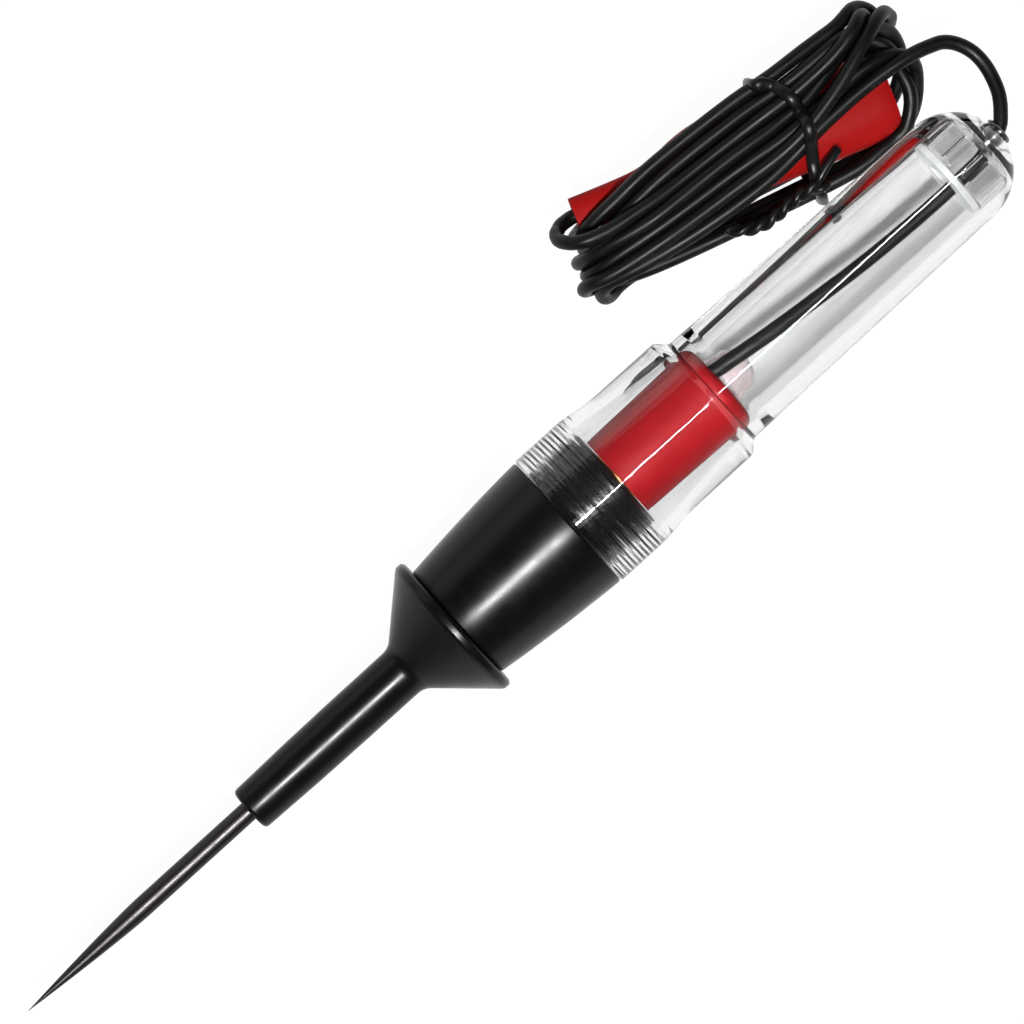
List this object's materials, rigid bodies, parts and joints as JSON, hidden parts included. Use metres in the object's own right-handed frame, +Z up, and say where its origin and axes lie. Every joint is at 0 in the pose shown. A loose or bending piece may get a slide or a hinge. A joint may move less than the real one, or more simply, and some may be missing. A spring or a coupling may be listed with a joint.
{
  "type": "circuit test light",
  "caption": "Needle probe circuit tester with a lamp in a clear handle, a finger-guard nose that unscrews, and a tied lead with a booted alligator clip.",
  "frame": {"origin": "under the middle of the tool, from needle point to eyelet rim, on the surface it lies on", "axes": "+X along the tool from the needle's point to the domed end, +Z up, +Y towards the hank of lead"},
  "size_m": [0.2099, 0.0498, 0.0252],
  "materials": {
    "probe_steel": "polished, darkened steel",
    "black_plastic": "gloss moulded",
    "clear_plastic": "clear, smooth",
    "red_plastic": "moulded",
    "brass": "satin",
    "spring_steel": "drawn wire",
    "lamp_glass": "clear",
    "lamp_insulator": "fired black glass",
    "lamp_wire": "drawn wire",
    "solder": "dull",
    "copper": "stranded copper",
    "pale_disc": "translucent",
    "clear_bush": "clear, ribbed",
    "eyelet_metal": "plated",
    "lead_pvc": "smooth flexible cover",
    "tie_plastic": "covered wire",
    "boot_vinyl": "soft vinyl",
    "clip_steel": "plated sheet"
  },
  "bodies": {
    "handle": {"handle_shell": "clear_plastic", "lamp_holder": "red_plastic", "contact_sleeve": "brass", "lamp_button": "solder", "lamp_insulator": "lamp_insulator", "lamp_base": "brass", "lamp_glass": "lamp_glass", "lamp_filament": "lamp_wire", "lead_core": "copper", "solder_joint": "solder", "inner_lead": "lead_pvc", "lead_washer": "pale_disc", "cord_bush": "clear_bush", "exit_eyelet": "eyelet_metal", "lead_cord": "lead_pvc", "cord_hank": "lead_pvc", "lead_tail": "lead_pvc", "hank_tie": "tie_plastic", "clip_boot": "boot_vinyl", "clip_fixed_jaw": "clip_steel", "clip_rivet": "clip_steel", "clip_spring": "spring_steel"},
    "contact": {"contact_cup": "brass", "contact_spring": "spring_steel"},
    "nose": {"probe_needle": "probe_steel", "finger_guard": "black_plastic", "nose_barrel": "black_plastic", "needle_bush": "brass"},
    "clip_jaw": {"clip_moving_jaw": "clip_steel"}
  },
  "joints": [
    {"name": "nose_travel", "type": "slide", "parent": "handle", "child": "contact", "axis": [-1, 0, 0], "range_m": [0, 0.0093]},
    {"name": "nose_turn", "type": "hinge", "parent": "contact", "child": "nose", "pos_m": [0, 0, 0.0126], "axis": [-1, 0, 0], "range_deg": [0, 2161]},
    {"name": "clip_open", "type": "hinge", "parent": "handle", "child": "clip_jaw", "pos_m": [0.07442, 0.02303, 0.0085], "axis": [0, 0, 1], "range_deg": [0, 10], "stiffness_Nm_per_rad": 0.02, "springref_deg": -5.73}
  ],
  "couplings": [
    {"joint": "nose_turn", "follows": "nose_travel", "rad_per_m": 4053.7}
  ]
}
